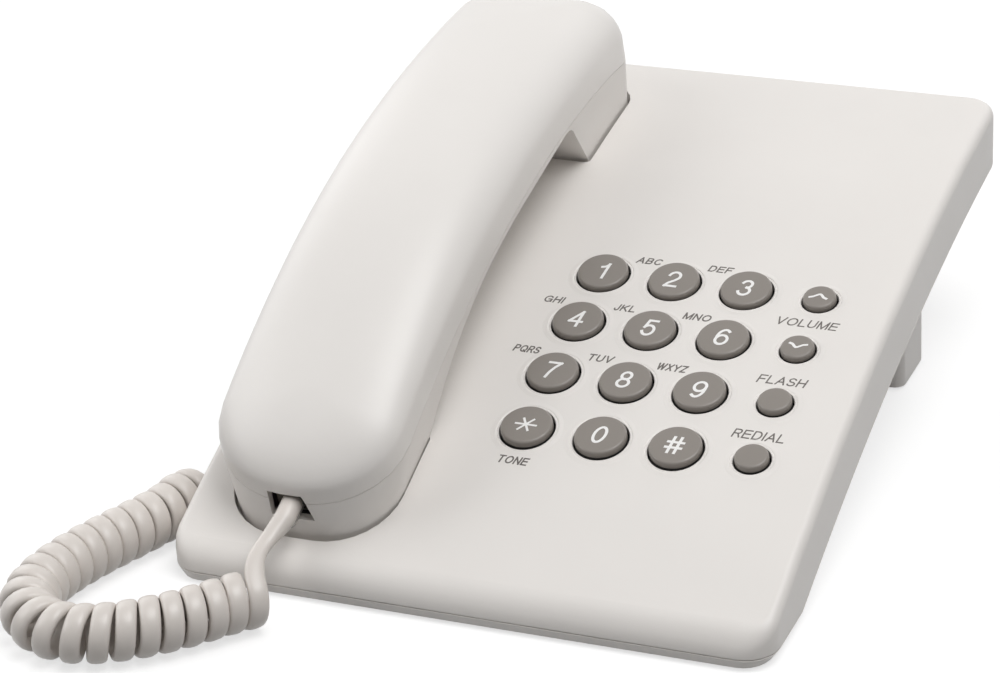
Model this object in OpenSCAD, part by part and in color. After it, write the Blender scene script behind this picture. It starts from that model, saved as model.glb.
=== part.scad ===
// Corded desk telephone: wedge base with an arched face, 16 keys, handset in two cradle wells, curly cord.
// Millimetres. X across, Y to the rear, Z up; the origin is on the desk under the middle of the base.

/* [Base] */
// Width of the base
base_w = 150; // [148:1:160]
// Depth of the base from front to rear
base_d = 200; // [198:1:208]
// Height of the face at the front edge
front_h = 8.4; // [8:0.2:10]
// Height of the face at the rear edge
rear_h = 60.5; // [58:0.5:64]
// Radius of the arch of the face, seen from the side
face_r = 626; // [560:2:760]
// Height of the side walls below the face
wall_h = 15.5; // [15:0.5:17]
// Height of the parting line above the desk at the front
rim_h = 3.4; // [3.2:0.1:3.8]
// Depth of the belly of the lower cover below the parting line
belly_h = 7.5; // [7:0.5:9]
// Distance of the belly in from the side walls
belly_inset = 8; // [7:0.5:10]
// Wall thickness of both covers
wall = 2.2; // [2:0.1:2.4]
// Radius of the corners seen from above
corner_r = 8; // [7:0.5:10]
// Radius of the upper edge along the sides and the rear
edge_r = 2.5; // [2:0.25:3]
// Radius of the nose along the front edge
nose_r = 5; // [4:0.25:5]
// Depth of the cradle wells below the face
well_depth = 4; // [3.5:0.25:4.5]
// Depth of the finger trough between the wells
trough_depth = 1.8; // [1:0.1:2]

/* [Keys] */
// Pitch of the key grid, both ways
key_pitch = 18.7; // [18:0.1:20]
// Distance of the keypad middle from the right side of the base
pad_side = 47.2; // [47:0.2:49]
// Distance of the keypad middle in front of the base middle
pad_y = 25.6; // [22:0.2:28]
// Diameter of a digit key
key_d = 13; // [12:0.1:13.4]
// Diameter of a function key
small_key_d = 8.4; // [7.6:0.1:9]
// Gap between a key and its hole
key_gap = 0.4; // [0.3:0.05:0.6]
// Height of the keys above the face
key_h = 1.8; // [1.6:0.1:2.4]
// Travel of a key
key_travel = 1.5; // [1:0.1:1.6]
// Width of the fine ring groove around each key
ring_w = 0.4; // [0.3:0.05:0.6]

/* [Handset] */
// Distance of the handset's middle line from the left side of the base
handset_side = 30.8; // [29:0.2:31]
// Width of the handset
handset_w = 48; // [47:0.5:50]
// Length of the face left free in front of the handset
front_free = 6; // [5:0.5:7]
// Length of the face left free behind the handset
rear_free = 12; // [11:0.5:14]
// Height of the handset's back above the face
handset_h = 34.8; // [33:0.2:36]
// Height of the parting line along the grip
split_h = 19; // [18.6:0.2:20]
// Height of the finger gap under the grip
grip_gap = 17; // [16:0.5:17.5]
// Wall thickness of the handset shells
shell_wall = 2; // [1.8:0.1:2.2]
// Travel of the handset when it is lifted off
lift = 80; // [40:5:120]
// Travel of the hook plunger
hook_travel = 5; // [4:0.5:5]

/* [Stand] */
// Width of the stand
stand_w = 129.5; // [120:0.5:132]
// Length of the stand from front to rear
stand_l = 20.4; // [18:0.2:24]
// Distance of the stand's front face behind the base middle
stand_y = 43; // [41:1:46]

/* [Sockets] */
// Width of the line plug's socket
line_socket_w = 9.8; // [9.6:0.1:10]
// Width of a handset plug's socket
cord_socket_w = 7.8; // [7.7:0.1:8]
// Height of every socket
socket_h = 6.8; // [6.7:0.1:7]

/* [Cord] */
// Diameter of the plain cord
cord_d = 4.6; // [4:0.1:5]
// Diameter of the curly part outside
coil_d = 14; // [13:0.25:14.5]

/* [Fits] */
// Running clearance between pieces that touch
fit = 0.3; // [0.2:0.05:0.35]
// Clearance around a foot of the handset in its well
well_gap = 1; // [0.9:0.1:1.2]

/* [Hidden] */
$fn = 48;
arch_fn = 720;
cover_color = [0.91, 0.90, 0.88];
key_color = [0.55, 0.53, 0.50];
dark_color = [0.22, 0.22, 0.22];
metal_color = [0.75, 0.75, 0.74];
board_color = [0.45, 0.40, 0.22];

// ---- Arch of the face: an arc about an axis across the base, through both edge heights ----
half_w = base_w / 2;
half_d = base_d / 2;
handset_x = half_w - handset_side;
pad_x = half_w - pad_side;
hs_front = front_free - half_d;
hs_rear = half_d - rear_free;
chord_tilt = atan((rear_h - front_h) / base_d);
half_chord = sqrt(half_d ^ 2 + ((rear_h - front_h) / 2) ^ 2);
arch_dist = sqrt(face_r ^ 2 - half_chord ^ 2);
arch_y = arch_dist * sin(chord_tilt);
arch_z = (front_h + rear_h) / 2 - arch_dist * cos(chord_tilt);
arch_start = -asin(arch_y / face_r);

function face_z(y) = arch_z + sqrt(face_r ^ 2 - (y - arch_y) ^ 2);
function face_tilt(y) = asin((arch_y - y) / face_r);
function arc_deg(s) = s / face_r * 180 / PI;
// Distance along the face from above the base middle to the point at y
function face_s(y) = (asin((y - arch_y) / face_r) - arch_start) * face_r * PI / 180;
// Place on the arch: x across, s along the face from above the base middle, h above the face
function arch(x, s, h) = let(a = arch_start + arc_deg(s))
    [x, arch_y + (face_r + h) * sin(a), arch_z + (face_r + h) * cos(a)];
// Height that keeps a face flat where the arch under it curves
function flat_h(s, s_mid) = (s - s_mid) ^ 2 / (2 * face_r);

module on_face(x, y) {
    translate([x, y, face_z(y)]) rotate([face_tilt(y), 0, 0]) children();
}

module on_arch(x, s, h = 0) {
    translate(arch(x, s, h)) rotate([-(arch_start + arc_deg(s)), 0, 0]) children();
}

// Band of the arch: a profile of [radius, x] points turned about the axis of the arch
module arch_band(s0, s1, profile) {
    from = arch_start + arc_deg(s0);
    to = arch_start + arc_deg(s1);
    translate([0, arch_y, arch_z]) rotate([0, 90, 0])
        rotate_extrude(angle = to - from, start = 180 - to, $fn = arch_fn) polygon(profile);
}

// ---- Lofts: closed rings, bottom to top, each the right half front to rear and its mirror image ----
function mirrored(half) = let(n = len(half)) concat(
    [for (p = half) p],
    [for (k = [n - 1:-1:0]) [-half[k].x, half[k].y, half[k].z]]
);
function shifted(ring, x) = [for (p = ring) [p.x + x, p.y, p.z]];

module loft(rings) {
    n = len(rings[0]);
    m = len(rings);
    last = (m - 1) * n;
    sides = [for (j = [0:m - 2], i = [0:n - 1]) let(a = j * n + i, b = j * n + (i + 1) % n)
        each [[a, a + n, b + n], [a, b + n, b]]];
    caps = [for (k = [0:n / 2 - 2]) each [
        [k, k + 1, n - 2 - k], [k, n - 2 - k, n - 1 - k],
        [last + n - 1 - k, last + n - 2 - k, last + k + 1], [last + n - 1 - k, last + k + 1, last + k]]];
    polyhedron([for (r = rings) each r], concat(sides, caps));
}

// Right half of a rounded outline, front to rear: [x, y, nose], where nose is 1 on the front edge.
// The front corners have radii rx and ry, the rear corners qx and qy.
function half_outline(w, y0, y1, rx, ry, qx, qy, corner_n, side_n) = concat(
    [for (k = [0:corner_n]) let(a = 90 - 90 * k / corner_n)
        [w - rx + rx * cos(a), y0 + ry - ry * sin(a), sin(a) ^ 2]],
    [for (k = [1:side_n - 1]) [w, y0 + ry + (y1 - qy - y0 - ry) * k / side_n, 0]],
    [for (k = [0:corner_n]) let(a = 90 * k / corner_n)
        [w - qx + qx * cos(a), y1 - qy + qy * sin(a), 0]]
);

// ---- Base ----
foot_z = 0.9;
foot_d = 10;
nose = min(nose_r, front_h - rim_h - 0.4);
fillet_n = 6;
rim_drop = rim_h - foot_z;
rim_inset = 1.5;
nose_inset = 0.6;
parting_v = 0.4;

function split_z(y) = max(rim_h, face_z(y) - wall_h);
function rim_z(y) = split_z(y) - rim_drop;
function belly_z(y) = max(foot_z, split_z(y) - belly_h);
function corner_left(i) = max(corner_r - i, 1);
// A ring of the base, inset i from the sides and rear and f from the front, at height z(y, nose)
function base_ring(i, f, z) = mirrored([
    for (p = half_outline(base_w / 2 - i, f - half_d, half_d - i,
        corner_left(i), corner_left(f), corner_left(i), corner_left(i), 6, 22)) [p.x, p.y, z(p.y, p.z)]
]);

module cover_skin() {
    loft(concat(
        [base_ring(0, 0, function(y, f) split_z(y))],
        [for (k = [0:fillet_n]) let(a = 90 * k / fillet_n)
            base_ring(edge_r * (1 - cos(a)), nose * (1 - cos(a)),
                function(y, f) face_z(y) - (edge_r + (nose - edge_r) * f) * (1 - sin(a)))]
    ));
}

module cover_hollow() {
    loft([
        base_ring(wall, wall, function(y, f) split_z(y) - 1),
        base_ring(wall, wall, function(y, f) face_z(y) - wall - 1),
        base_ring(wall + 1, wall + 1, function(y, f) face_z(y) - wall)
    ]);
}

// ---- Cradle wells ----
ear_well_l = 39.6;
mouth_well_l = 36.2;
ear_inset = 1;
mouth_outset = 3.2;
ear_rear = hs_rear - ear_inset;
ear_front = ear_rear - ear_well_l;
mouth_front = hs_front - mouth_outset;
mouth_rear = mouth_front + mouth_well_l;
ear_mid = (ear_front + ear_rear) / 2;
mouth_mid = (mouth_front + mouth_rear) / 2;
ear_half = handset_w / 2 - 0.3;
mouth_half = handset_w / 2 - 2.4;
gap_corner = 1.5;
trough_l = 33.4;
trough_front = ear_front - trough_l;
trough_half = 13;
trough_slope = 3;

function full_outline(half) = let(m = mirrored(half)) [for (p = m) [p.x, p.y]];
function ear_outline(grow) = full_outline(half_outline(ear_half + grow, ear_front - grow - ear_mid,
    ear_rear + grow - ear_mid, gap_corner + grow, gap_corner + grow, 9 + grow, 9 + grow, 6, 2));
function mouth_outline(grow) = full_outline(half_outline(mouth_half + grow, mouth_front - grow - mouth_mid,
    mouth_rear + grow - mouth_mid, 17 + grow, 17 + grow, gap_corner + grow, gap_corner + grow, 8, 2));

module ear_well(grow, from, to) {
    on_arch(-handset_x, ear_mid) translate([0, 0, from]) linear_extrude(to - from) polygon(ear_outline(grow));
}

module mouth_well(grow, from, to) {
    on_arch(-handset_x, mouth_mid) translate([0, 0, from]) linear_extrude(to - from) polygon(mouth_outline(grow));
}

module finger_trough() {
    arch_band(trough_front, ear_front, [
        [face_r - trough_depth, -handset_x - trough_half + trough_slope],
        [face_r + 1, -handset_x - trough_half - 2],
        [face_r + 1, -handset_x + trough_half + 2],
        [face_r - trough_depth, -handset_x + trough_half - trough_slope]]);
}

module trough_bed() {
    arch_band(trough_front - wall, ear_front, [
        [face_r - trough_depth - wall, -handset_x - trough_half - wall],
        [face_r - 0.7, -handset_x - trough_half - wall],
        [face_r - 0.7, -handset_x + trough_half + wall],
        [face_r - trough_depth - wall, -handset_x + trough_half + wall]]);
}

// ---- Keypad ----
key_rows = 4;
flange_w = 1.2;
flange_t = 1.2;
key_wall = 1.1;
key_top_t = 1.6;
mat_t = 1;
board_t = 1.6;
board_w = 84;
board_l = 104;
board_hole_x = board_w / 2 - 4;
board_hole_y = board_l / 2 - 5;
ring_share = 1.29;
ring_depth = 0.35;
// Fall of the arch below the flange of the outermost row
flange_fall = flat_h(1.5 * key_pitch + key_d / 2 + flange_w, 0) - flat_h(1.5 * key_pitch, 0);
flange_top = -(wall + fit + flange_fall);
flange_bottom = flange_top - flange_t;
mat_top = flange_bottom - key_travel - fit;
board_top = mat_top - mat_t - fit;
board_bottom = board_top - board_t;

// Name, column, row and diameter of each key
function key_x(column) = (column - 1.5) * key_pitch;
function key_y(row) = (1.5 - row) * key_pitch;
function key_sag(row) = flat_h(key_y(row), 0);
function key_size(column) = column == 3 ? small_key_d : key_d;

module on_pad() {
    on_face(pad_x, -pad_y) children();
}

module each_key() {
    for (column = [0:3], row = [0:key_rows - 1])
        on_pad() translate([key_x(column), key_y(row), -key_sag(row)]) {
            $column = column;
            $row = row;
            children();
        }
}

module key_hole() {
    translate([0, 0, -8]) cylinder(h = 12, r = key_size($column) / 2 + key_gap);
}

module ring_groove() {
    r = key_size($column) / 2 * ring_share;
    translate([0, 0, -ring_depth]) difference() {
        cylinder(h = 3, r = r + ring_w / 2);
        translate([0, 0, -1]) cylinder(h = 5, r = r - ring_w / 2);
    }
}

// One key: a domed hollow cap with a flange under the cover and a post over the rubber dome
module key(column, row) {
    r = key_size(column) / 2;
    round_r = 1;
    crown = 0.5;
    steps = 5;
    sag = key_sag(row);
    post_bottom = mat_top + 1.6 + key_travel + fit + sag;
    color(key_color) on_pad() translate([key_x(column), key_y(row), -sag]) rotate_extrude() polygon(concat(
        [[0, key_h], [r * 0.5, key_h - crown * 0.25]],
        [for (k = [0:steps]) let(a = 90 - 90 * k / steps)
            [r - round_r + round_r * cos(a), key_h - crown - round_r + round_r * sin(a)]],
        [[r, flange_top], [r + flange_w, flange_top], [r + flange_w, flange_bottom + sag],
         [r - key_wall, flange_bottom + sag], [r - key_wall, key_h - key_top_t - 0.4],
         [r * 0.3, key_h - key_top_t - 0.4], [r * 0.3, post_bottom], [0, post_bottom]]
    ));
}

// ---- Handset ----
mouth_split_drop = 9.6;
ear_split_drop = 7.8;
mouth_top_drop = 15.7;
ear_top_drop = 4.8;
crown_shift = 8;
crown_s = (hs_front + hs_rear) / 2 + crown_shift;
back_power = 3;

function bow(s, front_drop, rear_drop) = s < crown_s
    ? front_drop * ((s - crown_s) / (hs_front - crown_s)) ^ 2
    : rear_drop * ((s - crown_s) / (hs_rear - crown_s)) ^ 2;
function hs_split(s) = split_h - bow(s, mouth_split_drop, ear_split_drop);
function hs_top(s) = handset_h - bow(s, mouth_top_drop, ear_top_drop);
// Share of the height that the rounded back has reached at inset i
function back_share(i) = (1 - (1 - i / (handset_w / 2)) ^ back_power) ^ (1 / back_power);
// A ring of the handset inset by i, at height h(s)
function hs_ring(i, h) = shifted(mirrored([
    for (p = half_outline(handset_w / 2 - i, hs_front + i, hs_rear - i,
        max(22 - i, 1.5), max(19 - i, 1.5), max(14 - i, 1.5), max(12 - i, 1.5), 7, 22))
        arch(p.x, p.y, h(p.y))
]), -handset_x);

// ---- Feet of the handset ----
foot_bottom = -(well_depth - fit);
foot_front = mouth_front + well_gap;
mouth_foot_rear = mouth_rear - well_gap;
ear_foot_front = ear_front + well_gap;
foot_rear = ear_rear - well_gap;
mouth_foot_half = mouth_half - well_gap;
ear_foot_half = ear_half - well_gap;
foot_gap = 0.15;

function mix(a, b, t) = a + (b - a) * t;
function clamped(t) = min(max(t, 0), 1);
function foot_h(s) = foot_bottom + flat_h(s, s < 0 ? mouth_mid : ear_mid);
// Width of the body at the feet over its width at the parting line
function foot_share(s) = mix(mouth_foot_half, ear_foot_half,
    clamped((s - mouth_foot_rear) / (ear_foot_front - mouth_foot_rear))) / (handset_w / 2);
// A ring of the lower body, from the feet (u = 0) to the parting line (u = 1), inset by i and lifted by up
function body_ring(u, i, up) = shifted(mirrored([
    for (p = half_outline(handset_w / 2 - i, mix(foot_front, hs_front, u) + i, mix(foot_rear, hs_rear, u) - i,
        mix(17, 22, u) - i, mix(16, 19, u) - i, mix(8, 14, u) - i, mix(8, 12, u) - i, 7, 22))
        arch(p.x * mix(foot_share(p.y), 1, u), p.y, mix(foot_h(p.y) + up, hs_split(p.y), u))
]), -handset_x);

// Finger gap seen from the side, larger by grow: [s, h] points
mouth_curve_l = 63;
ear_wall_lean = 7.5;
ear_wall_start = 0.4;
ear_round = 6;
function gap_profile(grow) = let(n = 10) concat(
    [[mouth_foot_rear - grow, foot_bottom - 9]],
    [for (k = [0:n]) let(t = k / n)
        [mouth_foot_rear - grow * (1 - t) + mouth_curve_l * t, (grip_gap + grow) * (1 - (1 - t) ^ 3)]],
    [for (k = [0:4]) let(a = 90 - 18 * k)
        [ear_foot_front + grow - ear_wall_lean - ear_round + ear_round * cos(a),
         grip_gap + grow - ear_round + ear_round * sin(a)]],
    [[ear_foot_front + grow, ear_wall_start], [ear_foot_front + grow, foot_bottom - 9]]
);

module across(profile) {
    translate([-handset_x - handset_w, 0, 0]) rotate([90, 0, 90]) linear_extrude(2 * handset_w)
        polygon([for (p = profile) let(q = arch(0, p.x, p.y)) [q.y, q.z]]);
}

// ---- Places inside the handset ----
receiver_d = 30;
receiver_h = 7.5;
receiver_ring_h = 0.8;
foot_floor = foot_bottom + shell_wall;
mic_s = hs_front + 8;
mic_d = 9.7;
mic_h = 3.2;
boot_wall = 1.2;
hs_jack_s = hs_front + 9.4;
hs_jack_h = 8.1;
hs_jack_l = 12;
jack_shell = 1.7;
hs_screw_s = hs_front + 24;
hs_screw_x = 12;
screw_d = 2.6;
screw_hole = screw_d + 0.3;
screw_head_d = 5;
screw_head_h = 1.8;
hs_screw_seat = 2;
hs_screw_l = 10;
hs_cup_top = 4;
notch_left = 5.7;
notch_right = 5.4;
notch_top_right = 3.2;
notch_h = 7.2;

// Cord notch in the front end, its right side leaning towards the cord
module notch() {
    on_arch(-handset_x, hs_front, hs_jack_h) rotate([90, 0, 0]) translate([0, 0, -3]) linear_extrude(12)
        polygon([[-notch_left, -notch_h / 2], [notch_right, -notch_h / 2],
                 [notch_top_right, notch_h / 2], [-notch_left, notch_h / 2]]);
}

module each_handset_screw() {
    for (side = [-1, 1]) on_arch(-handset_x + side * hs_screw_x, hs_screw_s) children();
}

module handset_upper_shell() {
    outer = [0, 0.4, 1, 2, 4, 7, 11, 16, 21];
    color(cover_color) difference() {
        union() {
            difference() {
                loft([for (i = outer) hs_ring(i, function(s) mix(hs_split(s), hs_top(s), back_share(i)))]);
                loft([for (i = outer) if (i < 20) hs_ring(i + shell_wall,
                    function(s) i == 0 ? hs_split(s) - 1
                        : mix(hs_split(s), hs_top(s) - shell_wall, back_share(i)))]);
            }
            each_handset_screw() translate([0, 0, hs_cup_top]) cylinder(h = 19, d = 6);
        }
        notch();
        each_handset_screw() translate([0, 0, hs_cup_top - 1]) cylinder(h = hs_screw_l + 0.5, d = screw_hole);
    }
}

module handset_lower_shell() {
    color(cover_color) difference() {
        union() {
            difference() {
                loft([body_ring(0, 0, 0), body_ring(0.5, 0, 0), lowered(body_ring(1, 0, 0))]);
                difference() {
                    loft([body_ring(0, shell_wall, shell_wall), body_ring(0.5, shell_wall, shell_wall),
                          body_ring(1.1, shell_wall, shell_wall)]);
                    across(gap_profile(shell_wall));
                }
            }
            intersection() {
                each_handset_screw() translate([0, 0, foot_bottom + 1]) cylinder(h = hs_cup_top - foot_bottom - 1, d = 8);
                loft([body_ring(0, 0.5, 0), body_ring(0.9, 0.5, 0)]);
            }
            on_arch(-handset_x, hs_jack_s, hs_jack_h - socket_h / 2 - jack_shell - 0.1)
                translate([-5, hs_jack_l / 2 - 1, -5]) cube([10, 2, 5]);
        }
        across(gap_profile(0));
        notch();
        each_handset_screw() {
            translate([0, 0, foot_bottom - 3]) cylinder(h = hs_screw_seat - foot_bottom + 3, d = screw_head_d + 0.6);
            translate([0, 0, foot_bottom]) cylinder(h = hs_cup_top + 10, d = screw_hole);
        }
        on_arch(-handset_x, ear_mid, foot_bottom - 2) sound_holes(6, 6, 2.2);
        on_arch(-handset_x, mic_s, foot_bottom - 2) cylinder(h = 6, d = 2);
    }
}

function lowered(ring) = [for (p = ring) p - [0, 0, foot_gap]];

module sound_holes(count, r, d) {
    cylinder(h = 6, d = d);
    for (k = [0:count - 1]) rotate([0, 0, 360 * k / count]) translate([r, 0, 0]) cylinder(h = 6, d = d);
}

module receiver_ring() {
    color(dark_color) on_arch(-handset_x, ear_mid, foot_floor + 0.05) difference() {
        cylinder(h = receiver_ring_h, d = receiver_d - 1);
        translate([0, 0, -1]) cylinder(h = 3, d = receiver_d - 8);
    }
}

module receiver_capsule() {
    color(dark_color) on_arch(-handset_x, ear_mid, foot_floor + 0.05 + receiver_ring_h) {
        cylinder(h = receiver_h - 2.5, d = receiver_d);
        translate([0, 0, receiver_h - 2.5]) cylinder(h = 2.5, d = receiver_d * 0.6);
    }
}

module on_mouth_floor() {
    on_arch(-handset_x, mouth_mid) translate([0, mic_s - mouth_mid, foot_floor + 0.05]) children();
}

module microphone_boot() {
    color(dark_color) on_mouth_floor() difference() {
        cylinder(h = mic_h + boot_wall, d = mic_d + 2 * boot_wall + 0.1);
        translate([0, 0, boot_wall]) cylinder(h = mic_h + 1, d = mic_d + 0.1);
        translate([0, 0, -1]) cylinder(h = 4, d = 2);
    }
}

module microphone() {
    color(metal_color) on_mouth_floor() translate([0, 0, boot_wall]) cylinder(h = mic_h, d = mic_d);
}

weight_w = handset_w - 16;
weight_l = 40;
weight_t = 4;
weight_hole_d = 5;

module handset_weight() {
    color(metal_color) on_arch(-handset_x, crown_s, split_h) difference() {
        translate([-weight_w / 2, -weight_l / 2, 0]) cube([weight_w, weight_l, weight_t]);
        translate([0, 0, -1]) cylinder(h = weight_t + 2, d = weight_hole_d);
    }
}

// Modular socket body: open towards -Y, its front face at y = 0, socket w wide, deep deep
module jack_body(w, deep) {
    difference() {
        translate([-w / 2 - jack_shell, 0, -socket_h / 2 - jack_shell])
            cube([w + 2 * jack_shell, deep + jack_shell, socket_h + 2 * jack_shell]);
        translate([-w / 2, -1, -socket_h / 2]) cube([w, deep + 1, socket_h]);
        translate([-w / 4, -1, -socket_h / 2 - 1]) cube([w / 2, deep, 2]);
    }
}

// Modular plug with its latch tab below, the face of the cord end at y = 0, and a stub of cord in front
plug_w = cord_socket_w - 0.2;
plug_h = 5.6;
plug_l = 10.5;
stub_l = 7.5;
stub_up = 0.2;
plug_in = 0.2;
tab_w = 3;
tab_t = 0.8;
tab_out = 6.5;

module plug_body() {
    translate([-plug_w / 2, 0, socket_h / 2 - plug_h - 0.1]) cube([plug_w, plug_l, plug_h]);
    translate([-tab_w / 2, -tab_out, -socket_h / 2 + fit / 2]) {
        cube([tab_w, plug_l + tab_out - 3, tab_t]);
        translate([tab_w / 2, 0, 0]) cylinder(h = tab_t, d = tab_w);
        translate([0, plug_l + tab_out - 3.8, 0]) cube([tab_w, tab_t, 2]);
    }
    translate([0, 1, stub_up]) rotate([90, 0, 0]) cylinder(h = stub_l + 1, d = cord_d);
}

hs_jack_deep = 11;

module handset_jack() {
    color(dark_color) on_arch(-handset_x, hs_jack_s, hs_jack_h) translate([0, -hs_jack_l / 2, 0])
        jack_body(cord_socket_w, hs_jack_deep);
}

module handset_plug() {
    color(key_color) on_arch(-handset_x, hs_jack_s, hs_jack_h) translate([0, -hs_jack_l / 2 + plug_in, 0]) plug_body();
}

module handset_screws() {
    color(metal_color) each_handset_screw() {
        translate([0, 0, hs_screw_seat - screw_head_h]) cylinder(h = screw_head_h, d = screw_head_d);
        translate([0, 0, hs_screw_seat - 0.1]) cylinder(h = hs_screw_l, d = screw_d);
    }
}

// ---- Places inside the base ----
boss_d = 6;
case_boss_d = 7;
case_seat = 3.2;
case_cup = 5;
case_screw_l = 8;
case_screw_places = [
    [pad_x - 35.8, 15 - half_d], [half_w - 30, 15 - half_d], [15 - half_w, half_d - 17], [half_w - 15, half_d - 17]
];
board_boss_h = -board_top - wall - flat_h(board_hole_y, 0);
board_screw_l = board_boss_h - 0.2;

module each_case_screw() {
    for (p = case_screw_places) translate([p.x, p.y, belly_z(p.y)]) children();
}

module each_board_screw() {
    on_pad() for (x = [-board_hole_x, board_hole_x], y = [-board_hole_y, board_hole_y])
        translate([x, y, board_bottom]) children();
}

// Hook switch: plunger under the ear foot, spring below, switch in front
hook_s = hs_rear - 8.5;
plunger_d = 8;
plunger_top = foot_bottom - fit;
plunger_flange_top = -(well_depth + wall) - fit - hook_travel;
plunger_flange_t = 1.2;
plunger_flange_d = 11;
spring_top = plunger_flange_top - plunger_flange_t - fit;
spring_seat = -19.7;
spring_d = 7;

module on_hook() {
    on_arch(-handset_x, hook_s) children();
}

// Sockets and switches
line_jack_x = 8;
rear_z = rear_h - wall_h + socket_h / 2 + jack_shell + 1;
line_jack_deep = 13;
base_jack_y = -12;
base_jack_drop = 9.2;
base_jack_deep = 11;
ringer_x = -16;
dial_x = -40;
knob_w = 4;
knob_h = 2.8;
knob_slide = 3;
switch_w = 14;

module on_rear(x) {
    translate([x, half_d - wall, rear_z]) rotate([0, 0, 180]) children();
}

module on_left() {
    on_face(-base_w / 2 + wall, base_jack_y) translate([0, 0, -base_jack_drop]) rotate([0, 0, -90]) children();
}

module upper_cover() {
    color(cover_color) difference() {
        union() {
            difference() {
                cover_skin();
                cover_hollow();
            }
            ear_well(wall, -well_depth - wall, -0.9);
            mouth_well(wall, -well_depth - wall, -0.9);
            trough_bed();
            each_board_screw() translate([0, 0, board_t]) cylinder(h = board_boss_h + 0.5, d = boss_d);
            intersection() {
                each_case_screw() translate([0, 0, case_cup]) cylinder(h = 30, d = case_boss_d);
                loft([base_ring(wall - 0.5, wall - 0.5, function(y, f) foot_z),
                      base_ring(wall + 1, wall + 1, function(y, f) face_z(y) - wall + 0.5)]);
            }
        }
        ear_well(0, -well_depth, 4);
        mouth_well(0, -well_depth, 4);
        finger_trough();
        each_key() {
            key_hole();
            ring_groove();
        }
        each_board_screw() cylinder(h = board_t + board_screw_l, d = screw_hole);
        each_case_screw() translate([0, 0, case_cup - 1]) cylinder(h = case_screw_l + 1, d = screw_hole);
        on_hook() translate([0, 0, -10]) cylinder(h = 8, d = plunger_d + 2 * fit);
        on_rear(line_jack_x) translate([-line_socket_w / 2, -4, -socket_h / 2 - 1]) cube([line_socket_w, 5, socket_h + 1]);
        on_left() translate([-cord_socket_w / 2, -4, -socket_h / 2 - 1]) cube([cord_socket_w, 5, socket_h + 1]);
        for (x = [ringer_x, dial_x]) on_rear(x) translate([-knob_w / 2 - knob_slide - fit, -4, -knob_h / 2 - fit])
            cube([knob_w + 2 * knob_slide + 2 * fit, 5, knob_h + 2 * fit]);
    }
}

// Wall keyholes, slots for the hooks of the stand and the holes under the sounder
keyhole_y = [-45, 37.6];
keyhole_d = 8;
keyhole_slot = 4;
hook_slot_x = 45;
hook_slot_w = 12;
hook_slot_l = 4;
sounder_d = 27;
sounder_x = half_w - 37;
sounder_s = face_s(half_d - belly_inset - sounder_d / 2 - 3.4);
sounder_h = 8;
sounder_bottom = -20.3;
parting_gap = 0.15;

module lower_cover() {
    color(cover_color) difference() {
        union() {
            difference() {
                loft([
                    base_ring(belly_inset, belly_inset, function(y, f) belly_z(y)),
                    base_ring(rim_inset, nose_inset, function(y, f) rim_z(y)),
                    base_ring(0, 0, function(y, f) split_z(y) - parting_v),
                    base_ring(parting_v, parting_v, function(y, f) split_z(y) - parting_gap)
                ]);
                loft([
                    base_ring(belly_inset + 0.8, belly_inset + 0.8, function(y, f) belly_z(y) + wall),
                    base_ring(wall + 1.2, wall + 1.2, function(y, f) rim_z(y) + wall),
                    base_ring(wall, wall, function(y, f) split_z(y) + 1)
                ]);
            }
            each_case_screw() translate([0, 0, 1]) cylinder(h = case_cup - 1, d = 9.4);
            on_hook() {
                translate([0, 0, spring_seat - 2.5]) cylinder(h = 2.5, d = spring_d + 2);
                translate([0, 0, spring_seat - 1]) cylinder(h = 4, d = spring_d - 3);
            }
            on_arch(sounder_x, sounder_s) translate([0, 0, sounder_bottom - 1.5]) difference() {
                cylinder(h = 5, d = sounder_d + 2.6);
                translate([0, 0, -1]) cylinder(h = 7, d = sounder_d + 2 * fit);
            }
        }
        each_case_screw() {
            translate([0, 0, -3]) cylinder(h = case_seat + 3, d = screw_head_d + 1);
            cylinder(h = 12, d = screw_hole);
        }
        for (y = keyhole_y) translate([0, y, belly_z(y) - 6]) {
            cylinder(h = 12, d = keyhole_d);
            translate([-keyhole_slot / 2, 0, 0]) cube([keyhole_slot, keyhole_d + 2, 12]);
        }
        for (x = [-hook_slot_x, hook_slot_x]) translate([x - hook_slot_w / 2 - fit, stand_y + 5, belly_z(stand_y) - 4])
            cube([hook_slot_w + 2 * fit, hook_slot_l + 2 * fit, 12]);
        on_arch(sounder_x, sounder_s, sounder_bottom - 6) sound_holes(6, 7, 3);
    }
}

module main_board() {
    color(board_color) difference() {
        on_pad() translate([-board_w / 2, -board_l / 2, board_bottom]) cube([board_w, board_l, board_t]);
        each_board_screw() translate([0, 0, -1]) cylinder(h = 5, d = screw_hole);
    }
}

// Parts under the board, placed by shares of its width and length
dialler_chip = [14, 18, 2.4];
speech_chip = [10, 7, 2];
relay = [14, 12, 6];
header = [12, 5, 3.5];
can_d = 8;
can_h = 5;

module board_part(x, y, size) {
    translate([x * board_w, y * board_l, -size.z]) cube(size);
}

module board_components() {
    color(dark_color) on_pad() translate([0, 0, board_bottom]) {
        board_part(-0.29, -0.12, dialler_chip);
        board_part(0.05, 0.08, speech_chip);
        board_part(-0.26, 0.21, relay);
        board_part(0.1, 0.25, header);
        for (y = [-0.17, -0.04]) translate([0.24 * board_w, y * board_l, -can_h]) cylinder(h = can_h, d = can_d);
    }
}

module keypad_mat() {
    mat_half = 1.5 * key_pitch + 8.5;
    color(dark_color) on_pad() {
        translate([-mat_half, -mat_half, mat_top - mat_t]) cube([2 * mat_half, 2 * mat_half, mat_t]);
        for (column = [0:3], row = [0:key_rows - 1])
            translate([key_x(column), key_y(row), mat_top - 0.2])
                cylinder(h = 1.8, r = key_size(column) / 2 - key_wall - 0.8);
    }
}

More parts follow.
